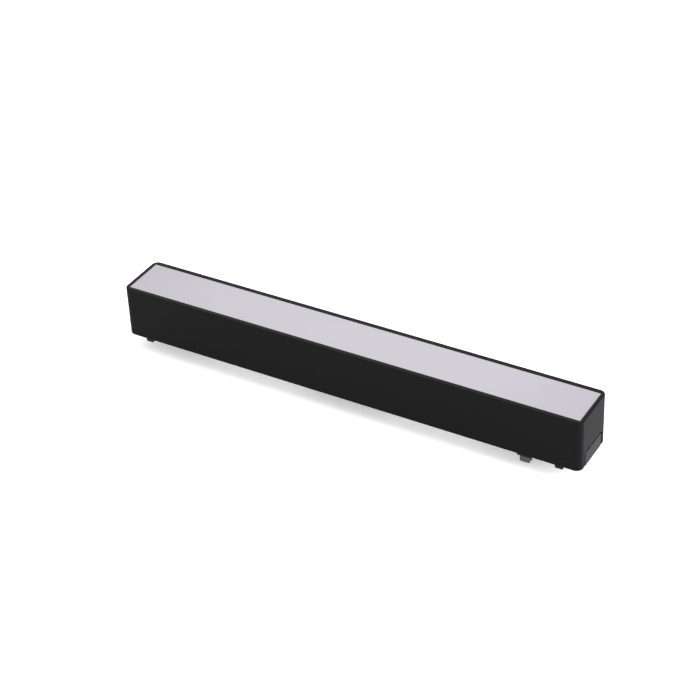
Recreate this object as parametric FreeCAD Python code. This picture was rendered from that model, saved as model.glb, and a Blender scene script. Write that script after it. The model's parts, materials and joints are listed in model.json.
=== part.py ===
import FreeCAD, Part
import math
import os

os.makedirs("parts", exist_ok=True)
V = FreeCAD.Vector

# A linear LED light that clips into a low-voltage track. It lies on its back here:
# +Z looks out of the diffuser, +X runs along the light to the end with the contacts,
# and the origin is the middle of the back face. Sizes are in millimetres.

# The whole light
LENGTH = 220.0
WIDTH = 25.0
HEIGHT = 24.0
CORNER_R = 3.0          # upright corners at both ends
EDGE_R = 0.3            # all other outer edges
CAP_T = 3.0             # end plates

# Housing: a channel with a room for the light above and a bay for the driver below
WALL = 1.5
RIM = 2.15              # black rim beside the diffuser
END_RIM = 1.7           # and at its ends
BAY_H = 12.0            # back face to the underside of the web
WEB_T = 1.6
LEDGE_T = 0.8           # ledges under the edges of the diffuser
LEDGE_REACH = 1.4
GROOVE_D = 0.4          # snap grooves for the diffuser's beads
GROOVE_H = 0.8
LIP_T = 1.2             # lips along the back that the tray slides over
LIP_REACH = 1.6

# Diffuser
DIFFUSER_T = 2.8
DIFFUSER_DROP = 0.2     # its face lies this much below the rim
DIFFUSER_GAP = 0.05     # all round, so that it snaps in without play
BEAD_R = 0.3

# Fits
SLIDE_GAP = 0.2         # beside sliding pieces, each side
SEAT_GAP = 0.1          # between pieces that are pushed together by hand
LIFT_GAP = 0.15         # above a surface that something slides on
SCREW_GAP = 0.05        # around a screw, on the radius
PAST = 1.0              # a cut runs this far past the face it opens, and a join this far in
ON_FACE = 1e-6          # a point this near a face lies on it

# Screws
SCREW_R = 1.5
SCREW_HEAD_R = 2.8
SCREW_HEAD_H = 1.5
DRIVE_R = 1.5           # reach of the cross recess
DRIVE_W = 0.6
DRIVE_D = 0.9
SCREW_TIP_GAP = 0.1     # left between a screw's tip and the web's upper face
BOARD_SCREW_R = 1.0
BOARD_SCREW_HEAD_R = 1.9
BOARD_SCREW_HEAD_H = 1.1
BOARD_SCREW_SLOT_L = 2.0

# End plates and their notch for the push tab
NOTCH_IN = 1.0          # from the latch's keel in to the notch's side
NOTCH_H = 7.2
NOTCH_R = 1.2
TONGUE_L = 16.0         # tongue under the web, which the cap screw holds
FOOT_L = 4.5            # feet that fill the cut lips
CAP_SCREW_IN = 10.1     # cap screw, from the end face
HEAD_SINK = 0.2         # countersunk and counterbored heads lie this much below

# Latches
LATCH_L = 15.4
LATCH_TOP = 7.0
LATCH_TRAVEL = 2.5
TAB_GAP = 0.6           # gap between the push tab and its notch
TAB_R = 0.8
LUG_FOOT_L = 4.4        # hook lugs, at the back face
LUG_TIP_L = 3.3
LUG_DROP = 2.7
LUG_W = 2.2
LUG_R = 0.4
ACCESS_R = 3.0          # screwdriver way to the cap screw
SPRING_SEAT_D = 4.0     # depth of the latch spring's pocket
LATCH_SPRING_R = 2.0    # outer radius
LATCH_SPRING_WIRE = 0.4
LATCH_SPRING_TURNS = 6
SPRING_GAP = 0.3        # around a spring in its pocket, on the radius
SPRING_END_GAP = 0.05
COIL_STATIONS = 12      # to a turn
WIRE_SIDES = 8

# Tray that closes the back
TRAY_T = 2.0
FLANGE_T = 1.0
RIB_W = 1.3
BOARD_Z = 4.8           # back face to the underside of the driver board
POST_R = 3.0
LEFT_POST_IN = 8.7      # screw posts, from the tray's ends
RIGHT_POST_IN = 6.2
TRAY_WALL_T = 1.5       # end wall that the left latch spring pushes on
TRAY_WALL_H = 8.0
MAGNET_L = 50.0
MAGNET_T = 3.1
MAGNET_SINK = 0.1
MAGNET_BESIDE_POST = 8.0
MAGNET_MARGIN = 3.2     # magnet to the tray's long edge
KEEPER_T = 0.8
POCKET_WALL = 1.2
POCKET_GAP = 0.1

# Contact block and its two spring contacts
BLOCK_L = 9.4
BLOCK_TOP_GAP = 3.6     # below the web, where the leads cross over the block
BLOCK_ROOF_T = 1.2
BOSS_W = 4.0
BOSS_DROP = 3.4
BOSS_FOOT_IN = 0.2      # boss, from the block's left end, where it leaves the block
BOSS_FOOT_L = 8.0
BOSS_TIP_IN = 1.3
BOSS_TIP_L = 6.2
BLADE_L = 4.7
BLADE_T = 0.35
BLADE_W = 1.8           # across the two legs of the folded strip
BLADE_NOSE_R = 1.15
BLADE_TIP_Z = -7.4
BLADE_CORNER_R = 1.6
BLADE_EAR_L = 0.9       # ears that rest on the block's shoulders
SHOULDER_Z = 2.0
EAR_GAP = 0.05
CONTACT_SPRING_R = 0.9
CONTACT_SPRING_WIRE = 0.2
CONTACT_SPRING_TURNS = 5
TERMINAL_T = 0.4
TAIL_TOP_GAP = 1.6      # from a solder tail's top to the web
TAIL_W = 1.2

# Lighting parts on the web
PAD_T = 0.3
LED_BOARD_T = 1.2
LED_BOARD_INSET = 2.5   # from the light room's side walls
LED_BOARD_END_GAP = 3.0
LED_SIZE = (3.5, 2.8, 0.7)
LED_LENS_R = 1.1
LED_LENS_H = 0.1
LED_ROW_Y = 3.6
LED_PITCH = 8.6
LED_END_IN = 8.0        # first LED, from the end of its board
BOARD_SCREW_MID_X = 35.0
BOARD_SCREW_END_IN = 15.0
WIRE_HOLE_R = 2.0

# Driver board and what stands on it
DRIVER_BOARD_T = 1.6
DRIVER_BOARD_BESIDE_POST = (11.0, 5.0)
INDUCTOR_W = 10.0
INDUCTOR_TOP_GAP = 1.0  # below the web
INDUCTOR_CORNER_R = 2.0
INDUCTOR_WELL_R = 3.4
INDUCTOR_WELL_D = 0.9
CHIP = (5.0, 4.0, 1.5)
CHIP_X = -16.0
CHIP_LEG = (0.4, 0.8, 0.25)
CHIP_LEG_PITCH = 1.27
CHIP_LEGS = 4           # on each side
CAPACITOR_R = 3.1
CAPACITOR_BASE = (6.6, 6.6, 1.0)
CAPACITOR_TOP_GAP = 0.6
CAPACITOR_X = (14.0, 24.0)
DIODE = (4.6, 2.8, 2.2)
DIODE_X = (-28.0, 36.0)
TERMINAL_BLOCK_L = 8.0
TERMINAL_BLOCK_H = 3.2
INPUT_BLOCK_W = 15.0
OUTPUT_BLOCK_W = 9.0
INPUT_WIRE_Y = 5.0
OUTPUT_WIRE_Y = 1.3
WIRE_SLOT = 1.6         # width and depth of a terminal's wire entry

# Leads
LEAD_R = 0.6
LEAD_ARC_SHARE = 0.45   # of the shorter run beside an arc
LEAD_LIFT = 0.05        # above the LED board where it is soldered
LEAD_HUMP = 0.9
LEAD_END_L = 4.5
LEAD_OVER_BLOCK = 0.3
LEAD_PAST_POST = 2.0
LEAD_ENTRY_L = 1.6
WIRE_HOLE_BESIDE_POST = 6.5

# Places worked out from the sizes above
HALF_L = LENGTH / 2
HALF_W = WIDTH / 2
BODY_X = HALF_L - CAP_T
ROOM_Y = HALF_W - WALL
WEB_TOP = BAY_H + WEB_T
LEDGE_TOP = HEIGHT - DIFFUSER_DROP - DIFFUSER_T
LEDGE_Y = ROOM_Y - LEDGE_REACH
OPENING_X = HALF_L - END_RIM
OPENING_Y = HALF_W - RIM
GROOVE_Z = LEDGE_TOP + GROOVE_H
LIP_Y = ROOM_Y - LIP_REACH
KEEL_Y = LIP_Y - SLIDE_GAP              # what fits between the lips
NOTCH_Y = KEEL_Y - NOTCH_IN
FLANGE_Y = ROOM_Y - SLIDE_GAP           # what rides above the lips
RIDE_Z = LIP_T + LIFT_GAP
SCREW_TIP_Z = WEB_TOP - SCREW_TIP_GAP
CAP_SCREW_X = HALF_L - CAP_SCREW_IN
TONGUE_X = BODY_X - TONGUE_L
TONGUE_Z = NOTCH_H + SEAT_GAP
LATCH_OUT_X = BODY_X - SEAT_GAP
LATCH_IN_X = LATCH_OUT_X - LATCH_L
LUG_X = CAP_SCREW_X
LIP_CUT_X = LUG_X - LUG_FOOT_L / 2 - LATCH_TRAVEL - 2 * SLIDE_GAP
SEAT_X = LATCH_IN_X - LATCH_TRAVEL - 2 * SLIDE_GAP     # face that a latch spring pushes on
LATCH_SPRING_Z = LATCH_TOP / 2
BLOCK_X = SEAT_X - BLOCK_L
BLOCK_H = BAY_H - BLOCK_TOP_GAP
TRAY_RIGHT_X = BLOCK_X - SEAT_GAP
TRAY_LEFT_X = -SEAT_X
POST_XS = (TRAY_LEFT_X + LEFT_POST_IN, TRAY_RIGHT_X - RIGHT_POST_IN)
BLOCK_SCREW_X = BLOCK_X + BLOCK_L / 2
BLADE_X = BLOCK_X + BOSS_TIP_IN + BOSS_TIP_L / 2
BLADE_Y = KEEL_Y - BOSS_W / 2
EAR_Z = SHOULDER_Z + EAR_GAP
TERMINAL_TOP = BLOCK_H - BLOCK_ROOF_T
TERMINAL_Z = TERMINAL_TOP - TERMINAL_T
MAGNET_W = 2 * (KEEL_Y - MAGNET_MARGIN)
MAGNET_XS = (
    POST_XS[0] + MAGNET_BESIDE_POST + MAGNET_L / 2,
    POST_XS[1] - MAGNET_BESIDE_POST - MAGNET_L / 2,
)
BOARD_TOP = BOARD_Z + DRIVER_BOARD_T
BOARD_X = (POST_XS[0] + DRIVER_BOARD_BESIDE_POST[0], POST_XS[1] - DRIVER_BOARD_BESIDE_POST[1])
WIRE_Z = BOARD_TOP + TERMINAL_BLOCK_H / 2
WIRE_HOLE_X = POST_XS[0] + WIRE_HOLE_BESIDE_POST
PAD_TOP = WEB_TOP + PAD_T
LED_BOARD_TOP = PAD_TOP + LED_BOARD_T
LED_BOARD_X = BODY_X - LED_BOARD_END_GAP
LED_BOARD_Y = ROOM_Y - LED_BOARD_INSET
BOARD_SCREW_XS = (
    -BODY_X + BOARD_SCREW_END_IN,
    -BOARD_SCREW_MID_X,
    BOARD_SCREW_MID_X,
    BODY_X - BOARD_SCREW_END_IN,
)
SIDES = (-1, 1)
FLIP_X = V(1, 0, 0)
FLIP_Y = V(0, 1, 0)


def block(x, y, z):
    """A block between two values on each axis."""
    low = V(min(x), min(y), min(z))
    return Part.makeBox(abs(x[1] - x[0]), abs(y[1] - y[0]), abs(z[1] - z[0]), low)


def block_at(x, y, z, size):
    """A block of a given size, centred on x and y and standing on z."""
    return block(
        (x - size[0] / 2, x + size[0] / 2),
        (y - size[1] / 2, y + size[1] / 2),
        (z, z + size[2]),
    )


def post(r, x, y, z):
    """An upright cylinder between two heights."""
    return Part.makeCylinder(r, z[1] - z[0], V(x, y, z[0]))


def along_y(points, y):
    """An outline of (x, z) points carried between two values of y."""
    corners = [V(px, y[0], pz) for px, pz in points]
    face = Part.Face(Part.makePolygon(corners + corners[:1]))
    return face.extrude(V(0, y[1] - y[0], 0))


def joined(pieces):
    """One solid from pieces that touch or overlap."""
    whole = pieces[0].multiFuse(pieces[1:]).removeSplitter()
    return whole.Solids[0] if len(whole.Solids) == 1 else whole


def mirrored(shape, normal):
    """The same piece on the other side of the origin."""
    return shape.mirror(V(0, 0, 0), normal)


def both_sides(piece):
    """A piece and its copy on the other side of the light, as two solids."""
    return [piece, mirrored(piece, FLIP_Y)]


def rounded(shape, r, wanted):
    """Rounds the edges whose middle and direction satisfy wanted(middle, direction)."""
    chosen = []
    for edge in shape.Edges:
        middle = edge.valueAt((edge.FirstParameter + edge.LastParameter) / 2)
        run = edge.Vertexes[-1].Point - edge.Vertexes[0].Point
        if wanted(middle, run):
            chosen.append(edge)
    return shape.makeFillet(r, chosen)


def runs_along(run, axis):
    """Whether a straight run lies along x (0), y (1) or z (2)."""
    return run.Length > 0 and abs(abs(run[axis]) - run.Length) < ON_FACE


def on_back_or_face(z):
    """Whether a height is that of the back face or of the rim."""
    return z < ON_FACE or z > HEIGHT - ON_FACE


def outer_form():
    """The whole outside: upright corners first, then a small radius on every other edge."""
    form = block((-HALF_L, HALF_L), (-HALF_W, HALF_W), (0, HEIGHT))
    form = rounded(form, CORNER_R, lambda middle, run: runs_along(run, 2))
    return rounded(form, EDGE_R, lambda middle, run: on_back_or_face(middle.z))


def diffuser_pocket():
    """The opening that the diffuser snaps into, as long and wide as the rim leaves."""
    return block((-OPENING_X, OPENING_X), (-OPENING_Y, OPENING_Y), (LEDGE_TOP, HEIGHT + PAST))


def cross_recess(x, y, head_z):
    """What a cross recess takes out of a screw head that looks down from head_z."""
    depth = DRIVE_D + PAST
    return [
        block_at(x, y, head_z - PAST, (2 * DRIVE_R, DRIVE_W, depth)),
        block_at(x, y, head_z - PAST, (DRIVE_W, 2 * DRIVE_R, depth)),
    ]


def screw(x, y, head_z, tip_z):
    """A countersunk screw that points up, with a cross recess in its head below."""
    shank = post(SCREW_R, x, y, (head_z, tip_z))
    head = Part.makeCone(SCREW_HEAD_R, SCREW_R, SCREW_HEAD_H, V(x, y, head_z))
    return joined([head, shank]).cut(cross_recess(x, y, head_z))


def screw_hole(x, y, head_z, top_z):
    """The hole for such a screw, with its countersink."""
    hole = post(SCREW_R + SCREW_GAP, x, y, (-PAST, top_z))
    sink_r = SCREW_HEAD_R + SCREW_GAP
    sink = Part.makeCone(sink_r, SCREW_R + SCREW_GAP, SCREW_HEAD_H, V(x, y, head_z))
    mouth = post(sink_r, x, y, (head_z - PAST, head_z))
    return joined([hole, sink, mouth])


def housing():
    """The extruded channel, cut at both ends where the latches' lugs pass the lips."""
    shell = outer_form().common(
        block((-BODY_X, BODY_X), (-WIDTH, WIDTH), (-PAST, HEIGHT + PAST))
    )
    groove_y = OPENING_Y + GROOVE_D
    groove_z = (GROOVE_Z - GROOVE_H / 2, GROOVE_Z + GROOVE_H / 2)
    rooms = [
        diffuser_pocket(),
        block((-LENGTH, LENGTH), (-groove_y, groove_y), groove_z),
        block((-LENGTH, LENGTH), (-LEDGE_Y, LEDGE_Y), (WEB_TOP, LEDGE_TOP)),
        block((-LENGTH, LENGTH), (-ROOM_Y, ROOM_Y), (WEB_TOP, LEDGE_TOP - LEDGE_T)),
        block((-LENGTH, LENGTH), (-ROOM_Y, ROOM_Y), (LIP_T, BAY_H)),
        block((-LENGTH, LENGTH), (-LIP_Y, LIP_Y), (-PAST, LIP_T)),
    ]
    for side in SIDES:
        rooms.append(block((side * LIP_CUT_X, side * LENGTH), (-ROOM_Y, ROOM_Y), (-PAST, LIP_T)))
    through_web = (BAY_H - PAST, WEB_TOP + PAST)
    for x in (-CAP_SCREW_X, CAP_SCREW_X, BLOCK_SCREW_X) + POST_XS:
        rooms.append(post(SCREW_R + SCREW_GAP, x, 0, through_web))
    for x in BOARD_SCREW_XS:
        rooms.append(post(BOARD_SCREW_R + SCREW_GAP, x, 0, through_web))
    rooms.append(post(WIRE_HOLE_R, WIRE_HOLE_X, 0, through_web))
    return shell.cut(rooms)


def end_cap():
    """The right end plate, its notch, the tongue under the web and the two feet."""
    plate = outer_form().common(
        block((BODY_X, LENGTH), (-WIDTH, WIDTH), (-PAST, HEIGHT + PAST))
    )
    notch = block((BODY_X - PAST, LENGTH), (-NOTCH_Y, NOTCH_Y), (-NOTCH_H, NOTCH_H))
    notch = rounded(notch, NOTCH_R, lambda middle, run: runs_along(run, 0) and middle.z > 0)
    plate = plate.cut([notch, diffuser_pocket()])
    tongue = block(
        (TONGUE_X, BODY_X), (-ROOM_Y + SEAT_GAP, ROOM_Y - SEAT_GAP), (TONGUE_Z, BAY_H - SEAT_GAP)
    )
    feet = [
        block((BODY_X - FOOT_L, BODY_X), (side * LIP_Y, side * (ROOM_Y - SEAT_GAP)), (0, LIP_T))
        for side in SIDES
    ]
    cap = joined([plate, tongue] + feet)
    head_top = TONGUE_Z + HEAD_SINK + SCREW_HEAD_H
    hole = post(SCREW_R + SCREW_GAP, CAP_SCREW_X, 0, (TONGUE_Z - PAST, BAY_H + PAST))
    bore = post(SCREW_HEAD_R + SCREW_GAP, CAP_SCREW_X, 0, (TONGUE_Z - PAST, head_top))
    return cap.cut([hole, bore])


def cap_screw():
    """Pan-head screw up through the tongue into the web."""
    head_z = TONGUE_Z + HEAD_SINK
    head = post(SCREW_HEAD_R, CAP_SCREW_X, 0, (head_z, head_z + SCREW_HEAD_H))
    shank = post(SCREW_R, CAP_SCREW_X, 0, (head_z, SCREW_TIP_Z))
    return joined([head, shank]).cut(cross_recess(CAP_SCREW_X, 0, head_z))


def diffuser():
    """The opal strip, with a bead along each side that snaps into the housing's groove."""
    x = OPENING_X - DIFFUSER_GAP
    y = OPENING_Y - DIFFUSER_GAP
    strip = block((-x, x), (-y, y), (LEDGE_TOP, LEDGE_TOP + DIFFUSER_T))
    bead_x = BODY_X - SEAT_GAP
    beads = [
        Part.makeCylinder(BEAD_R, 2 * bead_x, V(-bead_x, side * y, GROOVE_Z), V(1, 0, 0))
        for side in SIDES
    ]
    return joined([strip] + beads)


def latch():
    """The right latch: a T-shaped slider, the push tab and a hook lug on each side."""
    plank = block((LATCH_IN_X, LATCH_OUT_X), (-FLANGE_Y, FLANGE_Y), (RIDE_Z, LATCH_TOP))
    keel = block((LATCH_IN_X, LATCH_OUT_X), (-KEEL_Y, KEEL_Y), (0, LATCH_TOP))
    tab_y = NOTCH_Y - TAB_GAP
    tab = block((LATCH_OUT_X - PAST, HALF_L), (-tab_y, tab_y), (0, NOTCH_H - TAB_GAP))
    tab = rounded(tab, TAB_R, lambda middle, run: runs_along(run, 0) and middle.z > ON_FACE)
    keel_bite = [
        block((BODY_X - FOOT_L - SLIDE_GAP, BODY_X), (side * tab_y, side * HALF_W), (-PAST, RIDE_Z))
        for side in SIDES
    ]
    body = joined([plank, keel.cut(keel_bite), tab])
    access = post(ACCESS_R, CAP_SCREW_X, 0, (-PAST, LATCH_TOP + PAST))
    pocket_r = LATCH_SPRING_R + SPRING_GAP
    pocket_start = V(LATCH_IN_X - PAST, 0, LATCH_SPRING_Z)
    pocket = Part.makeCylinder(pocket_r, SPRING_SEAT_D + PAST, pocket_start, V(1, 0, 0))
    body = body.cut([access, pocket])
    return joined([body] + both_sides(hook_lug()))


def hook_lug():
    """A lug that narrows from its foot to its tip, with softened lower corners."""
    foot = LUG_FOOT_L / 2
    tip = LUG_TIP_L / 2
    outline = [
        (LUG_X - foot, RIDE_Z + PAST),
        (LUG_X - foot, 0),
        (LUG_X - tip, -LUG_DROP),
        (LUG_X + tip, -LUG_DROP),
        (LUG_X + foot, 0),
        (LUG_X + foot, RIDE_Z + PAST),
    ]
    lug = along_y(outline, (FLANGE_Y - LUG_W, FLANGE_Y))
    return rounded(
        lug, LUG_R, lambda middle, run: runs_along(run, 1) and middle.z < ON_FACE - LUG_DROP
    )


def coil(r, wire_r, turns, start, length, axis):
    """A coil spring from start along +X or +Z: eight-sided wire, joined station by station."""
    first = wire_r + SPRING_END_GAP
    run = length - 2 * first
    mean_r = r - wire_r
    rise = run / (2 * math.pi * turns)
    sections = []
    for i in range(turns * COIL_STATIONS + 1):
        turn = 2 * math.pi * i / COIL_STATIONS
        outward = V(math.cos(turn), math.sin(turn), 0)
        centre = outward * mean_r + V(0, 0, first + rise * turn)
        forward = V(-mean_r * math.sin(turn), mean_r * math.cos(turn), rise).normalize()
        across = forward.cross(outward)
        ring = []
        for k in range(WIRE_SIDES):
            angle = 2 * math.pi * k / WIRE_SIDES
            ring.append(centre + (outward * math.cos(angle) + across * math.sin(angle)) * wire_r)
        sections.append(Part.makePolygon(ring + ring[:1]))
    spring = Part.makeLoft(sections, True, True)
    if axis == "x":
        spring.rotate(V(0, 0, 0), V(0, 1, 0), 90)
    spring.translate(start)
    return spring.Solids[0]


def latch_spring():
    """The right latch's spring, from the contact block to the bottom of its pocket."""
    length = LATCH_IN_X + SPRING_SEAT_D - SEAT_X
    start = V(SEAT_X, 0, LATCH_SPRING_Z)
    return coil(
        LATCH_SPRING_R, LATCH_SPRING_WIRE / 2, LATCH_SPRING_TURNS, start, length, "x"
    )


def magnet_pocket(x, grow, z):
    """The space around a magnet, larger by grow on every side."""
    half_l = MAGNET_L / 2 + grow
    half_w = MAGNET_W / 2 + grow
    return block((x - half_l, x + half_l), (-half_w, half_w), z)


def base_tray():
    """Closes the back between the lips, holds the magnets and stands the driver up."""
    ends = (TRAY_LEFT_X, TRAY_RIGHT_X)
    pieces = [
        block(ends, (-KEEL_Y, KEEL_Y), (0, TRAY_T)),
        block(ends, (-FLANGE_Y, FLANGE_Y), (RIDE_Z, RIDE_Z + FLANGE_T)),
        block((ends[0], ends[0] + TRAY_WALL_T), (-KEEL_Y, KEEL_Y), (0, TRAY_WALL_H)),
    ]
    for side in SIDES:
        pieces.append(block(ends, (side * (KEEL_Y - RIB_W), side * KEEL_Y), (0, BOARD_Z)))
    for x in MAGNET_XS:
        pieces.append(magnet_pocket(x, POCKET_WALL + POCKET_GAP, (0, BOARD_Z)))
    for x in POST_XS:
        pieces.append(post(POST_R, x, 0, (0, BAY_H)))
    tray = joined(pieces)
    pocket_top = MAGNET_SINK + MAGNET_T + KEEPER_T
    cuts = [magnet_pocket(x, POCKET_GAP, (-PAST, pocket_top)) for x in MAGNET_XS]
    cuts += [screw_hole(x, 0, HEAD_SINK, BAY_H + PAST) for x in POST_XS]
    return tray.cut(cuts)


def contact_block():
    """Right of the tray: two bosses below the back, each with a way for its blade."""
    ends = (BLOCK_X, SEAT_X)
    pieces = [
        block(ends, (-KEEL_Y, KEEL_Y), (0, BLOCK_H)),
        block(ends, (-FLANGE_Y, FLANGE_Y), (RIDE_Z, RIDE_Z + FLANGE_T)),
        post(POST_R, BLOCK_SCREW_X, 0, (0, BAY_H)),
    ]
    foot = BLOCK_X + BOSS_FOOT_IN
    tip = BLOCK_X + BOSS_TIP_IN
    outline = [
        (foot, PAST),
        (foot, 0),
        (tip, -BOSS_DROP),
        (tip + BOSS_TIP_L, -BOSS_DROP),
        (foot + BOSS_FOOT_L, 0),
        (foot + BOSS_FOOT_L, PAST),
    ]
    boss = along_y(outline, (KEEL_Y - BOSS_W, KEEL_Y))
    body = joined(pieces + both_sides(boss))
    way_x = BLADE_L / 2 + SLIDE_GAP
    way_y = BLADE_NOSE_R + SLIDE_GAP
    ear_x = way_x + BLADE_EAR_L
    cuts = [screw_hole(BLOCK_SCREW_X, 0, HEAD_SINK, BAY_H + PAST)]
    for side in SIDES:
        y = (side * BLADE_Y - way_y, side * BLADE_Y + way_y)
        cuts.append(block((BLADE_X - way_x, BLADE_X + way_x), y, (-BOSS_DROP - PAST, SHOULDER_Z)))
        cuts.append(block((BLADE_X - ear_x, BLADE_X + ear_x), y, (SHOULDER_Z, TERMINAL_TOP)))
        tail_way = (TERMINAL_T + 2 * SEAT_GAP, TAIL_W + 2 * SEAT_GAP, BLOCK_H)
        cuts.append(block_at(BLADE_X, side * BLADE_Y, TERMINAL_Z, tail_way))
    return body.cut(cuts)


def folded_strip(half_w, nose_r, top, nose_z):
    """The keyhole outline of the strip: two straight legs that end in a round nose."""
    legs = block(
        (BLADE_X - BLADE_L, BLADE_X + BLADE_L),
        (BLADE_Y - half_w, BLADE_Y + half_w),
        (nose_z, top),
    )
    start = V(BLADE_X - BLADE_L, BLADE_Y, nose_z)
    nose = Part.makeCylinder(nose_r, 2 * BLADE_L, start, V(1, 0, 0))
    return joined([legs, nose])


def contact_blade():
    """A folded strip with a round nose below and two ears above that stop it."""
    nose_z = BLADE_TIP_Z + BLADE_NOSE_R
    top = EAR_Z + BLADE_T
    outer = folded_strip(BLADE_W / 2, BLADE_NOSE_R, top, nose_z)
    inner = folded_strip(
        BLADE_W / 2 - BLADE_T, BLADE_NOSE_R - BLADE_T, top - BLADE_T, nose_z
    )
    face = block(
        (BLADE_X - BLADE_L / 2, BLADE_X + BLADE_L / 2),
        (BLADE_Y - BLADE_W, BLADE_Y + BLADE_W),
        (BLADE_TIP_Z, top),
    )
    face = rounded(
        face, BLADE_CORNER_R, lambda middle, run: runs_along(run, 1) and middle.z < SHOULDER_Z
    )
    ears = block(
        (BLADE_X - BLADE_L / 2 - BLADE_EAR_L, BLADE_X + BLADE_L / 2 + BLADE_EAR_L),
        (BLADE_Y - BLADE_W / 2, BLADE_Y + BLADE_W / 2),
        (EAR_Z, top),
    )
    return joined([outer.cut(inner).common(face), ears])


def contact_spring():
    """Sits between a blade and its terminal."""
    base = EAR_Z + BLADE_T
    start = V(BLADE_X, BLADE_Y, base)
    return coil(
        CONTACT_SPRING_R,
        CONTACT_SPRING_WIRE / 2,
        CONTACT_SPRING_TURNS,
        start,
        TERMINAL_Z - base,
        "z",
    )


def contact_terminal():
    """A brass plate under the block's roof with a solder tail that passes through it."""
    plate = block_at(
        BLADE_X, BLADE_Y, TERMINAL_Z, (BLADE_L + BLADE_EAR_L, BLADE_W, TERMINAL_T)
    )
    tail = block_at(
        BLADE_X,
        BLADE_Y,
        TERMINAL_Z,
        (TERMINAL_T, TAIL_W, BAY_H - TAIL_TOP_GAP - TERMINAL_Z),
    )
    return joined([plate, tail])


def thermal_pad():
    """Fills the joint between the LED board and the web."""
    pad = block(
        (-LED_BOARD_X, LED_BOARD_X), (-LED_BOARD_Y, LED_BOARD_Y), (WEB_TOP, PAD_TOP)
    )
    return pad.cut(board_holes())


def led_board():
    board = block(
        (-LED_BOARD_X, LED_BOARD_X), (-LED_BOARD_Y, LED_BOARD_Y), (PAD_TOP, LED_BOARD_TOP)
    )
    return board.cut(board_holes())


def board_holes():
    """Holes through the pad and the LED board for screws and leads."""
    span = (WEB_TOP - PAST, LED_BOARD_TOP + PAST)
    holes = [post(BOARD_SCREW_R + SCREW_GAP, x, 0, span) for x in BOARD_SCREW_XS]
    holes.append(post(WIRE_HOLE_R, WIRE_HOLE_X, 0, span))
    return holes


def leds():
    """Two rows of packages, each with a small round window on top."""
    room = 2 * (LED_BOARD_X - LED_END_IN)
    count = int(room / LED_PITCH) + 1
    first = -(count - 1) * LED_PITCH / 2
    pieces = []
    for side in SIDES:
        for i in range(count):
            x = first + i * LED_PITCH
            y = side * LED_ROW_Y
            package = block_at(x, y, LED_BOARD_TOP, LED_SIZE)
            top = LED_BOARD_TOP + LED_SIZE[2]
            window = post(LED_LENS_R, x, y, (top, top + LED_LENS_H))
            pieces.append(joined([package, window]))
    return pieces


def led_board_screws():
    """Pan-head screws down through the LED board and its pad into the web."""
    pieces = []
    for x in BOARD_SCREW_XS:
        top = LED_BOARD_TOP + BOARD_SCREW_HEAD_H
        head = post(BOARD_SCREW_HEAD_R, x, 0, (LED_BOARD_TOP, top))
        shank = post(BOARD_SCREW_R, x, 0, (BAY_H + SCREW_TIP_GAP, top))
        slot_size = (BOARD_SCREW_SLOT_L, DRIVE_W, HEIGHT)
        slot = block_at(x, 0, top - BOARD_SCREW_HEAD_H / 2, slot_size)
        pieces.append(joined([head, shank]).cut(slot))
    return pieces


def magnets():
    z = (MAGNET_SINK, MAGNET_SINK + MAGNET_T)
    return [magnet_pocket(x, 0, z) for x in MAGNET_XS]


def keeper_plates():
    """Steel plates behind the magnets."""
    low = MAGNET_SINK + MAGNET_T
    return [magnet_pocket(x, 0, (low, low + KEEPER_T)) for x in MAGNET_XS]


def base_screws():
    """Hold the tray and the contact block to the web."""
    xs = POST_XS + (BLOCK_SCREW_X,)
    return [screw(x, 0, HEAD_SINK, SCREW_TIP_Z) for x in xs]


def driver_board():
    half_w = KEEL_Y - SEAT_GAP
    return block(BOARD_X, (-half_w, half_w), (BOARD_Z, BOARD_TOP))


def inductor():
    """A squat drum core in a square case with its corners cut."""
    top = BAY_H - INDUCTOR_TOP_GAP
    case = block_at(0, 0, BOARD_TOP, (INDUCTOR_W, INDUCTOR_W, top - BOARD_TOP))
    case = rounded(case, INDUCTOR_CORNER_R, lambda middle, run: runs_along(run, 2))
    well = post(INDUCTOR_WELL_R, 0, 0, (top - INDUCTOR_WELL_D, top + PAST))
    return case.cut(well)


def driver_chip():
    """The controller with a row of legs on each side."""
    body = block_at(CHIP_X, 0, BOARD_TOP, CHIP)
    legs = []
    for side in SIDES:
        for i in range(CHIP_LEGS):
            x = CHIP_X + (i - (CHIP_LEGS - 1) / 2) * CHIP_LEG_PITCH
            y = side * (CHIP[1] + CHIP_LEG[1]) / 2
            legs.append(block_at(x, y, BOARD_TOP, CHIP_LEG))
    return joined([body] + legs)


def filter_capacitors():
    """Two upright cans on square bases."""
    pieces = []
    for x in CAPACITOR_X:
        base = block_at(x, 0, BOARD_TOP, CAPACITOR_BASE)
        can = post(CAPACITOR_R, x, 0, (BOARD_TOP, BAY_H - CAPACITOR_TOP_GAP))
        pieces.append(joined([base, can]))
    return pieces


def rectifier_diodes():
    return [block_at(x, 0, BOARD_TOP, DIODE) for x in DIODE_X]


def wire_terminal(x, width, wire_y):
    """A two-way terminal with a screw well above each lead; it stands inward from x."""
    middle = x - math.copysign(TERMINAL_BLOCK_L / 2, x)
    body = block_at(middle, 0, BOARD_TOP, (TERMINAL_BLOCK_L, width, TERMINAL_BLOCK_H))
    well = (WIRE_SLOT, WIRE_SLOT, TERMINAL_BLOCK_H)
    well_z = BOARD_TOP + TERMINAL_BLOCK_H - WIRE_SLOT / 2
    return body.cut([block_at(middle, side * wire_y, well_z, well) for side in SIDES])


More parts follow.
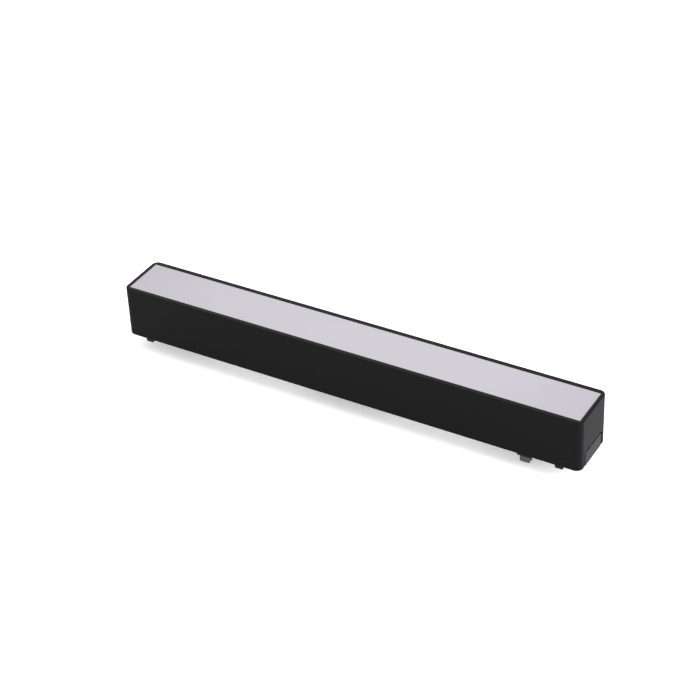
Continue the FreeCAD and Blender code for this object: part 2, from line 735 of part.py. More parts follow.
def lead(points):
    """Round insulated wire along straight runs joined by tangent arcs."""
    edges = []
    here = points[0]
    for before, corner, after in zip(points, points[1:], points[2:]):
        to_corner = corner - before
        from_corner = after - corner
        reach = LEAD_ARC_SHARE * min(to_corner.Length, from_corner.Length)
        into = to_corner.normalize()
        out = from_corner.normalize()
        half_turn = into.getAngle(out) / 2
        r = reach / math.tan(half_turn)
        first = corner - into * reach
        last = corner + out * reach
        inward = (out - into).normalize()
        centre = corner + inward * (r / math.cos(half_turn))
        edges.append(Part.LineSegment(here, first).toShape())
        edges.append(Part.Arc(first, centre - inward * r, last).toShape())
        here = last
    edges.append(Part.LineSegment(here, points[-1]).toShape())
    path = Part.Wire(edges)
    start = points[1] - points[0]
    section = Part.Wire(Part.makeCircle(LEAD_R, points[0], start))
    return path.makePipeShell([section], True, False).Solids[0]


def input_lead(side):
    """From a contact's solder tail over the block's roof to the driver's terminal."""
    high = BLOCK_H + LEAD_R + LEAD_OVER_BLOCK
    near_post = POST_R + LEAD_R + LEAD_PAST_POST
    return lead([
        V(BLADE_X - TERMINAL_T / 2, side * BLADE_Y, high),
        V(BLOCK_X, side * BLADE_Y, high),
        V(POST_XS[1], side * near_post, WIRE_Z),
        V(BOARD_X[1] + LEAD_ENTRY_L, side * INPUT_WIRE_Y, WIRE_Z),
        V(BOARD_X[1], side * INPUT_WIRE_Y, WIRE_Z),
    ])


def output_lead(side):
    """From the driver's other terminal up through the web to the LED board."""
    y = side * OUTPUT_WIRE_Y
    end_z = LED_BOARD_TOP + LEAD_R + LEAD_LIFT
    return lead([
        V(BOARD_X[0], y, WIRE_Z),
        V(WIRE_HOLE_X, y, WIRE_Z),
        V(WIRE_HOLE_X, y, end_z + LEAD_HUMP),
        V(WIRE_HOLE_X - LEAD_END_L, y, end_z),
    ])


def save(name, shape):
    """Writes one node: a single solid, or a group of separate ones from a list."""
    if isinstance(shape, list):
        shape = Part.makeCompound(shape)
    shape.exportStep(f"parts/{name}.step")
    print(f"{name}: {len(shape.Solids)} solid(s), {shape.Volume:.1f} mm3, valid {shape.isValid()}")


save("housing", housing())
right_cap = end_cap()
save("end_cap_right", right_cap)
save("end_cap_left", mirrored(right_cap, FLIP_X))
right_screw = cap_screw()
save("cap_screws", [right_screw, mirrored(right_screw, FLIP_X)])
save("diffuser", diffuser())
right_latch = latch()
save("latch_right", right_latch)
save("latch_left", mirrored(right_latch, FLIP_X))
right_spring = latch_spring()
save("latch_spring_right", right_spring)
save("latch_spring_left", mirrored(right_spring, FLIP_X))
save("base_tray", base_tray())
save("base_screws", base_screws())
save("magnets", magnets())
save("keeper_plates", keeper_plates())
save("contact_block", contact_block())
back_blade = contact_blade()
save("contact_blade_back", back_blade)
save("contact_blade_front", mirrored(back_blade, FLIP_Y))
back_spring = contact_spring()
save("contact_spring_back", back_spring)
save("contact_spring_front", mirrored(back_spring, FLIP_Y))
save("contact_terminals", both_sides(contact_terminal()))
save("thermal_pad", thermal_pad())
save("led_board", led_board())
save("leds", leds())
save("led_board_screws", led_board_screws())
save("driver_board", driver_board())
save("inductor", inductor())
save("driver_chip", driver_chip())
save("filter_capacitors", filter_capacitors())
save("rectifier_diodes", rectifier_diodes())
save("input_terminal", wire_terminal(BOARD_X[1], INPUT_BLOCK_W, INPUT_WIRE_Y))
save("output_terminal", wire_terminal(BOARD_X[0], OUTPUT_BLOCK_W, OUTPUT_WIRE_Y))
save("lead_positive_in", input_lead(-1))
save("lead_negative_in", input_lead(1))
save("lead_positive_led", output_lead(-1))
save("lead_negative_led", output_lead(1))
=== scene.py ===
import json
import math

import bmesh
import bpy
import numpy as np
from mathutils import Matrix, Vector


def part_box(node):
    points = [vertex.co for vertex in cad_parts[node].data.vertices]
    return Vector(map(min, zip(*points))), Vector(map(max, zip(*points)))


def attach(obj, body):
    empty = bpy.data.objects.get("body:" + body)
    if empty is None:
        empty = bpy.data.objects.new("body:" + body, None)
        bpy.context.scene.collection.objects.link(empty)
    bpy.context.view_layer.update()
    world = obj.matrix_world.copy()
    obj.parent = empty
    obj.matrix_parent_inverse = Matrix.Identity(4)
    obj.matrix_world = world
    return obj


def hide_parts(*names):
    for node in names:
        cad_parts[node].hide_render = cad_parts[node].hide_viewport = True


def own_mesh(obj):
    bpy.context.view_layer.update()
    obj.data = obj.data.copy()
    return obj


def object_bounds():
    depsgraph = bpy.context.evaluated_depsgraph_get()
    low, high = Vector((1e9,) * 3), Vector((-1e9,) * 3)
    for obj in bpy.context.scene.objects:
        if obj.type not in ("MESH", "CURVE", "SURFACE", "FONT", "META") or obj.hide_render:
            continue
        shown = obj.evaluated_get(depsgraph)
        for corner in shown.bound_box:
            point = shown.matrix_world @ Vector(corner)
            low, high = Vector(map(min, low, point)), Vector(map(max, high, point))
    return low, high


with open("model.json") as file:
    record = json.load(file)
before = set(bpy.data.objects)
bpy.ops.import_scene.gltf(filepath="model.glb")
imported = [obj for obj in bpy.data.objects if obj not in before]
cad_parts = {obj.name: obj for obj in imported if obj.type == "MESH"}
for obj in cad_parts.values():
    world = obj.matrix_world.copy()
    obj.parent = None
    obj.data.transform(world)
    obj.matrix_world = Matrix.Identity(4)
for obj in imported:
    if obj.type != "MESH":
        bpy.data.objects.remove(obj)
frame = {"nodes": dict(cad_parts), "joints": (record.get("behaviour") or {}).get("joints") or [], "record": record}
cad_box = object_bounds()
nodes = frame["nodes"]
slots = {part["node"]: part["material_slot"] for part in frame["record"]["subparts"]}

# A linear LED light that lies on its back: +Z looks out of the diffuser, +X runs to the
# end with the contacts, and the origin is the middle of the back face. Sizes are in
# millimetres until a mesh is made; places come from the frame's boxes.
MM = 0.001


def span(node, axis):
    """A node's lowest and highest value along an axis, in millimetres."""
    low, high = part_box(node)
    return low[axis] / MM, high[axis] / MM


# The whole light
HALF_L = span("end_cap_right", 0)[1]
HALF_W = span("housing", 1)[1]
HEIGHT = span("housing", 2)[1]
BODY_X = span("housing", 0)[1]
CORNER_R = HALF_L - BODY_X      # upright corners
EDGE_R = 0.3                    # all other outer edges
BREAK_R = 0.08                  # broken edges inside

# Housing: an H with a groove and ledges for the diffuser and lips along the back
ROOM_Y = HALF_W - 1.5
WEB_Z = (12.0, 13.6)
LIP_Y = 9.4
LIP_T = 1.2
LIP_CUT_X = 94.8
LEDGE_Y = 9.6
LEDGE_T = 0.8
GROOVE_Z = (21.4, 22.2)
GROOVE_D = 0.4

# Diffuser and the opening it snaps into
DIFFUSER_X = span("diffuser", 0)[1]
DIFFUSER_Z = span("diffuser", 2)
DIFFUSER_EDGE_R = 0.12
BEAD_R = 0.3
BEAD_FOOT_R = 0.03
BEAD_X = BODY_X - 0.1
STRIP_Y = span("diffuser", 1)[1] - BEAD_R
SNAP_GAP = 0.05
OPENING_X = DIFFUSER_X + SNAP_GAP
OPENING_Y = STRIP_Y + SNAP_GAP

# End caps
NOTCH_Y = 8.2
NOTCH_H = 7.2
NOTCH_R = 1.2
NOTCH_EDGE_R = 0.12
TONGUE = ((span("end_cap_right", 0)[0], BODY_X + 0.4), (-10.9, 10.9))
TONGUE_Z = (7.3, 11.9)
TONGUE_BORE = (2.85, 9.0)       # radius and depth of the way for the screw's head
TONGUE_HOLE_R = 1.55
CAP_SCREW_X = 99.9
FOOT_X = (102.5, BODY_X + 0.4)
FOOT_Y = (9.4, 10.9)

# Contact blades: a folded strip with a round nose below and two ears above
BLADE_T = 0.35
BLADE_NOSE_R = 1.15
BLADE_HALF_W = 0.9
BLADE_CORNER_R = 1.6
BLADE_EAR_L = 0.9
BLADE_EDGE_R = 0.07

# Coil springs: wire radius and turns
LATCH_COIL = (0.2, 6)
CONTACT_COIL = (0.1, 5)
COIL_END_GAP = 0.05
COIL_CLOSING = 0.6              # 1 would lay the end turns flat

MAGNET_L = 50.0
MAGNET_CORNER_R = 0.6
MAGNET_EDGE_R = 0.25

BROKEN_EDGE = 0.08              # bevel on moulded pieces
SMALL_BROKEN_EDGE = 0.04        # bevel on screws, boards and what they carry

ARC_STEPS = 6
FINE_STEPS = 12
HOLE_STEPS = 48
TURN_STEPS = 28
WIRE_SIDES = 12
MERGE_NEW = 1e-7                # metres, for double points in new surfaces
MERGE_CAD = 1e-6                # metres, for double points in CAD meshes
SHARP_ANGLE = math.radians(35)
FLAT_ANGLE = math.radians(0.5)


# ---- shapes -----------------------------------------------------------------------------

def unit(vectors):
    return vectors / np.linalg.norm(vectors, axis=-1, keepdims=True)


def outline(corners, steps=ARC_STEPS):
    """A closed outline from rows of (u, v, radius), with a tangent arc at each corner.

    The arc's centre lies on the corner's bisector, radius / sin(half the corner) away,
    and its points turn evenly from one tangent point to the other.
    """
    rows = np.array(corners, float)
    at = rows[:, :2]
    r = rows[:, 2:]
    back = unit(np.roll(at, 1, 0) - at)
    ahead = unit(np.roll(at, -1, 0) - at)
    half = np.arccos((back * ahead).sum(1, keepdims=True)) / 2
    centre = at + unit(back + ahead) * r / np.sin(half)
    first = at + back * r / np.tan(half) - centre
    last = at + ahead * r / np.tan(half) - centre
    turn = math.pi - 2 * half
    t = np.linspace(0, 1, steps + 1)
    from_first = np.sin((1 - t) * turn) / np.sin(turn)
    from_last = np.sin(t * turn) / np.sin(turn)
    points = (
        centre[:, None]
        + from_first[..., None] * first[:, None]
        + from_last[..., None] * last[:, None]
    )
    return points.reshape(-1, 2)


def box_corners(u, v, r):
    """The four corners of a rectangle, each with the same radius."""
    return [(u[1], v[0], r), (u[1], v[1], r), (u[0], v[1], r), (u[0], v[0], r)]


def two_halves(right):
    """Rows of (u, v, ...) on the right, then the same on the left in reverse order."""
    rows = np.array(right, float)
    left = rows[::-1].copy()
    left[:, 0] *= -1
    return np.concatenate([rows, left])


def inset(points, d):
    """An outline moved inwards by d, square to the chord between its neighbours."""
    chord = unit(np.roll(points, -1, 0) - np.roll(points, 1, 0))
    return points + d * np.stack([-chord[:, 1], chord[:, 0]], 1)


def set_on(axis, points, w):
    """Outline points placed at w along an axis: (y, z) on x, (x, z) on y, (x, y) on z."""
    return np.insert(points, axis, w, axis=1)


def rounded_end(axis, points, w, into, edge_r, steps=3):
    """Rings that end an outline at w with a quarter circle; into is 1 or -1.

    At angle a the ring lies edge_r (1 - cos a) from the end and edge_r (1 - sin a)
    inside the outline.
    """
    angles = np.linspace(0, math.pi / 2, steps + 1)
    return [
        set_on(
            axis,
            inset(points, edge_r * (1 - math.sin(a))),
            w + into * edge_r * (1 - math.cos(a)),
        )
        for a in angles
    ]


def moulding(axis, points, ends, edge_r):
    """Rings of one outline carried along an axis, with both ends rounded."""
    first = rounded_end(axis, points, ends[0], 1, edge_r)
    last = rounded_end(axis, points, ends[1], -1, edge_r)
    return np.array(first + last[::-1])


def skin(rings, closed=False):
    """Vertices and faces of a stack of equal rings, capped at both ends or closed."""
    rings = np.asarray(rings)
    count, sides = rings.shape[:2]
    index = np.arange(count * sides).reshape(count, sides)
    below = index if closed else index[:-1]
    above = np.roll(index, -1, 0) if closed else index[1:]
    quads = np.stack([below, np.roll(below, -1, 1), np.roll(above, -1, 1), above], -1)
    faces = quads.reshape(-1, 4).tolist()
    if not closed:
        faces += [index[0][::-1].tolist(), index[-1].tolist()]
    return rings.reshape(-1, 3), faces


def holed_block(x, y, hole_at, bore):
    """A block pierced along z: a section around the hole's axis, closed on itself.

    bore is rows of (radius, z) from the bottom up. At angle a the block's side is
    the nearer of the two sides that a ray at that angle meets.
    """
    corners = [math.atan2(v - hole_at[1], u - hole_at[0]) for u in x for v in y]
    even = np.linspace(-math.pi, math.pi, HOLE_STEPS, endpoint=False)
    a = np.sort(np.concatenate([even, corners]))
    along = np.stack([np.cos(a), np.sin(a)], 1)
    high = np.array([x[1], y[1]]) - hole_at
    low = hole_at - np.array([x[0], y[0]])
    room = np.where(along > 0, high, low)
    side = (room / np.maximum(np.abs(along), 1e-9)).min(1)
    rows = [(np.full_like(a, r), z) for r, z in bore]
    rows += [(side, bore[-1][1]), (side, bore[0][1])]
    rings = [set_on(2, hole_at + along * r[:, None], z) for r, z in rows]
    return skin(rings, closed=True)


def tube(path, r):
    """Rings of radius r square to a path; each starts from the last one's direction."""
    ahead = unit(np.gradient(path, axis=0))
    side = np.cross(ahead[0], unit(np.array([1.0, 2.0, 3.0])))
    a = np.linspace(0, 2 * math.pi, WIRE_SIDES, endpoint=False)[:, None]
    rings = []
    for centre, tangent in zip(path, ahead):
        side = unit(side - tangent * (side @ tangent))
        rings.append(centre + r * (np.cos(a) * side + np.sin(a) * np.cross(tangent, side)))
    return np.array(rings)


def coil(r, wire_r, turns, length):
    """A compression spring along +z from 0: a helix of radius r less half the wire.

    Over its length t it rises by t - closing sin(2 pi t) / (2 pi), so the end turns lie
    closer than the middle ones.
    """
    t = np.linspace(0, 1, turns * TURN_STEPS + 1)
    first = wire_r + COIL_END_GAP
    rise = t - COIL_CLOSING * np.sin(2 * math.pi * t) / (2 * math.pi)
    a = 2 * math.pi * turns * t
    across = r - wire_r
    up = first + (length - 2 * first) * rise
    path = np.stack([across * np.cos(a), across * np.sin(a), up], 1)
    return tube(path, wire_r)


# ---- objects ----------------------------------------------------------------------------

def finished(name, mesh):
    """An object whose rounds are shaded smooth and whose edges stay crisp."""
    mesh.shade_smooth()
    mesh.set_sharp_from_angle(angle=SHARP_ANGLE)
    made = bpy.data.objects.new(name, mesh)
    bpy.context.scene.collection.objects.link(made)
    return made


def piece(name, *shells):
    """One object from closed shells of (vertices, faces), in millimetres.

    Double points are merged, and each shell is turned so that its volume is positive.
    """
    whole = bmesh.new()
    for vertices, faces in shells:
        mesh = bpy.data.meshes.new(name)
        mesh.from_pydata((vertices * MM).tolist(), [], faces)
        shell = bmesh.new()
        shell.from_mesh(mesh)
        bmesh.ops.remove_doubles(shell, verts=shell.verts, dist=MERGE_NEW)
        bmesh.ops.dissolve_degenerate(shell, edges=shell.edges, dist=MERGE_NEW)
        if shell.calc_volume(signed=True) < 0:
            bmesh.ops.reverse_faces(shell, faces=shell.faces)
        shell.to_mesh(mesh)
        shell.free()
        whole.from_mesh(mesh)
        bpy.data.meshes.remove(mesh)
    mesh = bpy.data.meshes.new(name)
    whole.to_mesh(mesh)
    whole.free()
    made = finished(name, mesh)
    normals = made.modifiers.new("flat_faces", "WEIGHTED_NORMAL")
    normals.keep_sharp = True
    normals.weight = 100
    return made


def fitted(made, node, body="light"):
    """Puts a piece in a CAD node's place, with that node's finish."""
    slot = slots[node]
    made.data.materials.append(FINISHES[slot])
    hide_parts(node)
    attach(made, body)
    return made


def softened(node, body="light", width=BROKEN_EDGE):
    """A moulded or stamped piece: the CAD shape with flat faces merged and edges broken."""
    shape = bmesh.new()
    shape.from_mesh(nodes[node].data)
    bmesh.ops.remove_doubles(shape, verts=shape.verts, dist=MERGE_CAD)
    bmesh.ops.dissolve_limit(
        shape, angle_limit=FLAT_ANGLE, verts=shape.verts, edges=shape.edges
    )
    mesh = bpy.data.meshes.new(node)
    shape.to_mesh(mesh)
    shape.free()
    made = finished(node + "_finished", mesh)
    bevel = made.modifiers.new("broken_edges", "BEVEL")
    bevel.width = width * MM
    bevel.segments = 2
    bevel.limit_method = "ANGLE"
    bevel.angle_limit = SHARP_ANGLE
    bevel.harden_normals = True
    return fitted(made, node, body)


# ---- pieces -----------------------------------------------------------------------------

def add_housing():
    """The H section carried along x; past the cuts its lips draw back into the walls."""
    ledge_z = DIFFUSER_Z[0]
    right = [
        (LIP_Y, LIP_T, BREAK_R),
        (LIP_Y, 0, BREAK_R),
        (HALF_W, 0, EDGE_R),
        (HALF_W, HEIGHT, EDGE_R),
        (OPENING_Y, HEIGHT, BREAK_R),
        (OPENING_Y, GROOVE_Z[1], BREAK_R),
        (OPENING_Y + GROOVE_D, GROOVE_Z[1], BREAK_R),
        (OPENING_Y + GROOVE_D, GROOVE_Z[0], BREAK_R),
        (OPENING_Y, GROOVE_Z[0], BREAK_R),
        (OPENING_Y, ledge_z, BREAK_R),
        (LEDGE_Y, ledge_z, BREAK_R),
        (LEDGE_Y, ledge_z - LEDGE_T, BREAK_R),
        (ROOM_Y, ledge_z - LEDGE_T, BREAK_R),
        (ROOM_Y, WEB_Z[1], BREAK_R),
    ]
    bay = [(ROOM_Y, WEB_Z[0], BREAK_R), (ROOM_Y, LIP_T, BREAK_R)]
    section = outline(two_halves(bay + right))
    y, z = section.T
    in_lip = (z < LIP_T + EDGE_R) & (np.abs(y) < ROOM_Y)
    cut = np.stack([np.where(in_lip, np.copysign(ROOM_Y, y), y), z], 1)
    stations = [
        (cut, -BODY_X),
        (cut, -LIP_CUT_X),
        (section, -LIP_CUT_X),
        (section, LIP_CUT_X),
        (cut, LIP_CUT_X),
        (cut, BODY_X),
    ]
    rings = [set_on(0, points, x) for points, x in stations]
    fitted(piece("housing_channel", skin(rings)), "housing")


def cap_ring(x, deep):
    """The end plate's section at x as an outline of (y, z); deep in the diffuser's opening.

    In plan the corners are quarter circles of CORNER_R. A point e inside the plan lies
    a quarter circle of EDGE_R below the rim or above the back. The opening's edge and
    the notch's edge at the end face are rounded in the same way.
    """
    out = x - BODY_X
    from_face = HALF_L - x
    reach = math.acos(max(1 - from_face / EDGE_R, 0))
    a = np.linspace(0, reach, ARC_STEPS + 1)
    e = EDGE_R * (1 - np.cos(a))
    drop = EDGE_R * (1 - np.sin(a))
    edge_y = HALF_W - CORNER_R + np.sqrt(np.maximum((CORNER_R - e) ** 2 - out**2, 0))
    top = HEIGHT - drop[-1]

    widening = min(max((x - OPENING_X) / BREAK_R, 0), 1)
    c = np.linspace(math.pi / 2, math.acos(1 - widening), ARC_STEPS + 1)
    opening_y = np.minimum(OPENING_Y + BREAK_R * (1 - np.cos(c)), edge_y[-1])
    opening_z = np.minimum(HEIGHT - BREAK_R * (1 - np.sin(c)), top)
    floor_z = DIFFUSER_Z[0] if deep else opening_z[-1]

    rise = max(1 - from_face / NOTCH_EDGE_R, 0)
    notch_r = NOTCH_R + NOTCH_EDGE_R * (1 - math.sqrt(1 - rise**2))
    b = np.linspace(0, math.pi / 2, ARC_STEPS + 1)
    notch_y = NOTCH_Y - NOTCH_R + notch_r * np.sin(b)
    notch_z = NOTCH_H - NOTCH_R + notch_r * np.cos(b)

    right = np.concatenate([
        np.stack([notch_y, notch_z], 1),
        [(notch_y[-1], drop[-1])],
        np.stack([edge_y, drop], 1)[::-1],
        np.stack([edge_y, HEIGHT - drop], 1),
        np.stack([opening_y, opening_z], 1),
        [(opening_y[-1], floor_z)],
    ])
    return set_on(0, two_halves(right), x)


def add_end_cap(side, name, node):
    """End plate, tongue under the web and two feet; side is 1 at the contact end."""
    a = np.linspace(0, math.pi / 2, FINE_STEPS + 1)
    corner = BODY_X + CORNER_R * np.sin(a)
    edge = HALF_L - EDGE_R * (1 - np.sin(a[::2]))
    notch = HALF_L - NOTCH_EDGE_R * (1 - np.sin(a[::3]))
    opening = OPENING_X + BREAK_R * (1 - np.cos(a[::3]))
    xs = np.unique(np.round(np.concatenate([corner, edge, notch, opening]), 6))
    rings = [cap_ring(x, True) for x in xs if x <= OPENING_X]
    rings += [cap_ring(x, False) for x in xs if x >= OPENING_X]
    bore = [
        (TONGUE_BORE[0], TONGUE_Z[0]),
        (TONGUE_BORE[0], TONGUE_BORE[1]),
        (TONGUE_HOLE_R, TONGUE_BORE[1]),
        (TONGUE_HOLE_R, TONGUE_Z[1]),
    ]
    shells = [skin(rings), holed_block(*TONGUE, np.array([CAP_SCREW_X, 0.0]), bore)]
    for y in (FOOT_Y, (-FOOT_Y[1], -FOOT_Y[0])):
        foot = outline(box_corners(y, (0, LIP_T), BREAK_R))
        shells.append(skin(moulding(0, foot, FOOT_X, BREAK_R / 2)))
    turned = [(vertices * (side, 1, 1), faces) for vertices, faces in shells]
    fitted(piece(name, *turned), node)


def add_diffuser():
    """The strip's section with its two beads, which stop short of the end plates."""
    bead_z = sum(GROOVE_Z) / 2
    bead = BEAD_R - BEAD_FOOT_R
    right = [
        (STRIP_Y, DIFFUSER_Z[0], BREAK_R),
        (STRIP_Y, bead_z - BEAD_R, BEAD_FOOT_R),
        (STRIP_Y + BEAD_R, bead_z - BEAD_R, bead),
        (STRIP_Y + BEAD_R, bead_z + BEAD_R, bead),
        (STRIP_Y, bead_z + BEAD_R, BEAD_FOOT_R),
        (STRIP_Y, DIFFUSER_Z[1], DIFFUSER_EDGE_R),
    ]
    section = outline(two_halves(right))
    plain = np.stack([np.clip(section[:, 0], -STRIP_Y, STRIP_Y), section[:, 1]], 1)
    rings = rounded_end(0, plain, -DIFFUSER_X, 1, BREAK_R)
    rings += [
        set_on(0, plain, -BEAD_X),
        set_on(0, section, -BEAD_X),
        set_on(0, section, BEAD_X),
        set_on(0, plain, BEAD_X),
    ]
    rings += rounded_end(0, plain, DIFFUSER_X, -1, BREAK_R)[::-1]
    fitted(piece("opal_diffuser", skin(rings)), "diffuser")


def keyhole(half_w, nose_r, nose_z, top):
    """Points of (y, z) down one straight leg, round the nose and up the other leg."""
    a0 = math.asin(half_w / nose_r)
    a = np.linspace(a0, 2 * math.pi - a0, 4 * ARC_STEPS + 1)
    nose = np.stack([nose_r * np.sin(a), nose_z + nose_r * np.cos(a)], 1)
    return np.concatenate([[(half_w, top)], nose, [(-half_w, top)]])


def add_contact_blade(node, body):
    """A strip folded to a keyhole, its lower corners round, with ears across its top.

    The strip's section at each point of the keyhole is a flat bar with broken edges, as
    wide as the blade is at that height.
    """
    x = span(node, 0)
    y = span(node, 1)
    z = span(node, 2)
    middle = (sum(x) / 2, sum(y) / 2)
    half_l = (x[1] - x[0]) / 2 - BLADE_EAR_L
    nose_z = z[0] + BLADE_NOSE_R
    outer = keyhole(BLADE_HALF_W, BLADE_NOSE_R, nose_z, z[1])
    inner = keyhole(BLADE_HALF_W - BLADE_T, BLADE_NOSE_R - BLADE_T, nose_z, z[1] - BLADE_T)
    inward = unit(inner - outer)
    below = np.maximum(z[0] + BLADE_CORNER_R - outer[:, 1], 0)
    reach = half_l - BLADE_CORNER_R + np.sqrt(BLADE_CORNER_R**2 - below**2)
    columns = [
        (reach - BLADE_EDGE_R, outer),
        (reach, outer + inward * BLADE_EDGE_R),
        (reach, inner - inward * BLADE_EDGE_R),
        (reach - BLADE_EDGE_R, inner),
    ]
    section = [(side * u, at) for side in (1, -1) for u, at in columns[::side]]
    rings = np.stack([
        np.stack([middle[0] + u, middle[1] + at[:, 0], at[:, 1]], 1) for u, at in section
    ])
    ears_y = (middle[1] - BLADE_HALF_W, middle[1] + BLADE_HALF_W)
    ears = outline(box_corners(ears_y, (z[1] - BLADE_T, z[1]), BLADE_EDGE_R))
    shells = skin(rings, closed=True), skin(moulding(0, ears, x, BLADE_EDGE_R / 2))
    fitted(piece(node + "_strip", *shells), node, body)


def add_latch_spring(side, node, joint):
    """Along x between the inner seat and the latch."""
    low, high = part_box(node)
    seat = min(abs(low.x), abs(high.x)) / MM - COIL_END_GAP
    length = abs(high.x - low.x) / MM + 2 * COIL_END_GAP
    rings = coil((high.y - low.y) / MM / 2, *LATCH_COIL, length)
    u, v, w = np.moveaxis(rings, -1, 0)
    placed = np.stack([side * (seat + w), u, v + (low.z + high.z) / MM / 2], -1)
    made = fitted(piece(node + "_coil", skin(placed)), node)
    squash(made, joint, length)


def add_contact_spring(node, joint):
    """Along z between a blade's ears and its terminal."""
    low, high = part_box(node)
    length = (high.z - low.z) / MM + 2 * COIL_END_GAP
    rings = coil((high.y - low.y) / MM / 2, *CONTACT_COIL, length)
    centre = ((low.x + high.x) / MM / 2, (low.y + high.y) / MM / 2, low.z / MM - COIL_END_GAP)
    made = fitted(piece(node + "_coil", skin(rings + np.array(centre))), node)
    squash(made, joint, length)


def squash(made, joint, length):
    """Gives a spring its own copy of its mesh; the joint's travel is read, but the spring is not shortened."""
    travel = next(j for j in frame["joints"] if j["name"] == joint)["range_m"][1] / MM
    1 - travel / length
    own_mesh(made)


def add_magnets():
    """Bars with round corners and edges, plated all over."""
    ends = span("magnets", 0)
    y = span("magnets", 1)
    z = span("magnets", 2)
    shells = []
    for x in ((ends[0], ends[0] + MAGNET_L), (ends[1] - MAGNET_L, ends[1])):
        bar = outline(box_corners(x, y, MAGNET_CORNER_R))
        shells.append(skin(moulding(2, bar, z, MAGNET_EDGE_R)))
    fitted(piece("magnet_bars", *shells), "magnets")


# ---- shader maths -----------------------------------------------------------------------

class Signal:
    """A socket in a finish's node tree. Arithmetic on it adds Math nodes."""

    def __init__(self, finish, socket):
        self.finish = finish
        self.socket = socket

    def _math(self, operation, *values):
        return self.finish.node("ShaderNodeMath", {"operation": operation}, dict(enumerate(values)))

    def __add__(self, other):
        return self._math("ADD", self, other)

    __radd__ = __add__

    def __mul__(self, other):
        return self._math("MULTIPLY", self, other)

    __rmul__ = __mul__

    def __sub__(self, other):
        return self._math("SUBTRACT", self, other)

    def __rsub__(self, other):
        return self._math("SUBTRACT", other, self)

    def __truediv__(self, other):
        return self._math("DIVIDE", self, other)

    def size(self):
        return self._math("ABSOLUTE", self)

    def step(self, low, high):
        """0 below low, 1 above high, and a smooth rise between."""
        return self.finish.node(
            "ShaderNodeMapRange",
            {"interpolation_type": "SMOOTHSTEP"},
            {"Value": self, "From Min": low, "From Max": high},
        )


class Finish:
    """One material: its node tree and its shader."""

    def __init__(self, name, **constants):
        self.material = bpy.data.materials.new(name)
        self.material.use_nodes = True
        self.tree = self.material.node_tree
        self.shader = next(n for n in self.tree.nodes if n.type == "BSDF_PRINCIPLED")
        for socket, value in constants.items():
            self.shader.inputs[socket.replace("_", " ")].default_value = value

    def node(self, kind, settings=None, inputs=None, output=0):
        """Adds a node: its settings first, then its sockets' values or links."""
        made = self.tree.nodes.new(kind)
        for key, value in (settings or {}).items():
            setattr(made, key, value)
        for key, value in (inputs or {}).items():
            self._feed(made.inputs[key], value)
        return Signal(self, made.outputs[output])

    def _feed(self, socket, value):
        if isinstance(value, Signal):
            self.tree.links.new(value.socket, socket)
        else:
            socket.default_value = value

    def feed(self, **sockets):
        """Feeds the shader's sockets; an underscore stands for a space."""
        for key, value in sockets.items():
            self._feed(self.shader.inputs[key.replace("_", " ")], value)

    def place(self):
        """The point in the row frame, in metres."""
        return self.node("ShaderNodeTexCoord", output="Object")

    def along(self, axis):
        return self.node("ShaderNodeSeparateXYZ", {}, {0: self.place()}, axis)

    def stretched(self, x, y, z):
        """The point with each direction scaled, for grain that runs one way."""
        return self.node("ShaderNodeMapping", {}, {"Vector": self.place(), "Scale": (x, y, z)})

    def grain(self, per_metre, detail=2.0, roughness=0.5, vector=None):
        """Noise from 0 to 1 with so many grains to the metre."""
        return self.node(
            "ShaderNodeTexNoise",
            {},
            {
                "Vector": vector or self.place(),
                "Scale": per_metre,
                "Detail": detail,
                "Roughness": roughness,
            },
        )

    def cells(self, per_metre):
        """Distance to the nearest of scattered points, so many to the metre."""
        return self.node(
            "ShaderNodeTexVoronoi", {}, {"Vector": self.place(), "Scale": per_metre}, "Distance"
        )

    def mixed(self, first, second, share):
        """A colour between two, by a share from 0 to 1."""
        return self.node(
            "ShaderNodeMix", {"data_type": "RGBA"}, {0: share, 6: first, 7: second}, 2
        )

    def relief(self, height, depth, strength=1.0):
        """A bump of that depth in metres."""
        return self.node(
            "ShaderNodeBump", {}, {"Height": height, "Distance": depth, "Strength": strength}
        )


def tone(value, warmth=0.0):
    """A near-grey colour: warmth above 0 leans to red, below 0 to blue."""
    return (value * (1 + warmth), value, value * (1 - warmth), 1.0)


# ---- finishes ---------------------------------------------------------------------------

# Base colours and specular levels are set for this bright studio, so the black and the
# opal are darker than the real materials; in a dimmer scene they need raising.

def black_coat():
    """Satin black powder coat: fine orange peel, faint clouding."""
    f = Finish("black_powder_coat", Specular_IOR_Level=0.06)
    cloud = f.grain(60, 3)
    peel = f.grain(2600, 2, 0.6)
    f.feed(
        Base_Color=f.mixed(tone(0.0035, 0.02), tone(0.0047, 0.02), cloud),
        Roughness=0.46 + 0.08 * cloud + 0.06 * peel,
        Normal=f.relief(peel, 12e-6),
    )
    return f.material


def opal():
    """Satin opal plastic, a touch lilac, with a very fine texture; painted shade darkens it towards both ends."""
    f = Finish("opal_diffuser", Specular_IOR_Level=0.3)
    cloud = f.grain(25, 2)
    texture = f.grain(3500, 1)
    body = f.mixed((0.333, 0.321, 0.343, 1), (0.349, 0.337, 0.36, 1), cloud)
    # Painted shade: the base colour darkens from 50 mm out to the ends of the strip; the plastic itself does not
    # change.
    painted_shade_at_ends = f.along(0).size().step(0.05, 0.112)
    f.feed(
        Base_Color=f.mixed(body, (0.308, 0.296, 0.318, 1), painted_shade_at_ends),
        Roughness=0.5 + 0.08 * texture,
        Normal=f.relief(texture, 4e-6),
    )
    return f.material


def black_plastic(name, level, roughness, grain_depth):
    """Moulded black plastic with a spark-eroded grain."""
    f = Finish(name, Specular_IOR_Level=0.16)
    grain = f.cells(3200)
    cloud = f.grain(90, 3)
    f.feed(
        Base_Color=f.mixed(tone(level), tone(level * 1.35), cloud),
        Roughness=roughness + 0.12 * grain,
        Normal=f.relief(grain, grain_depth),
    )
    return f.material


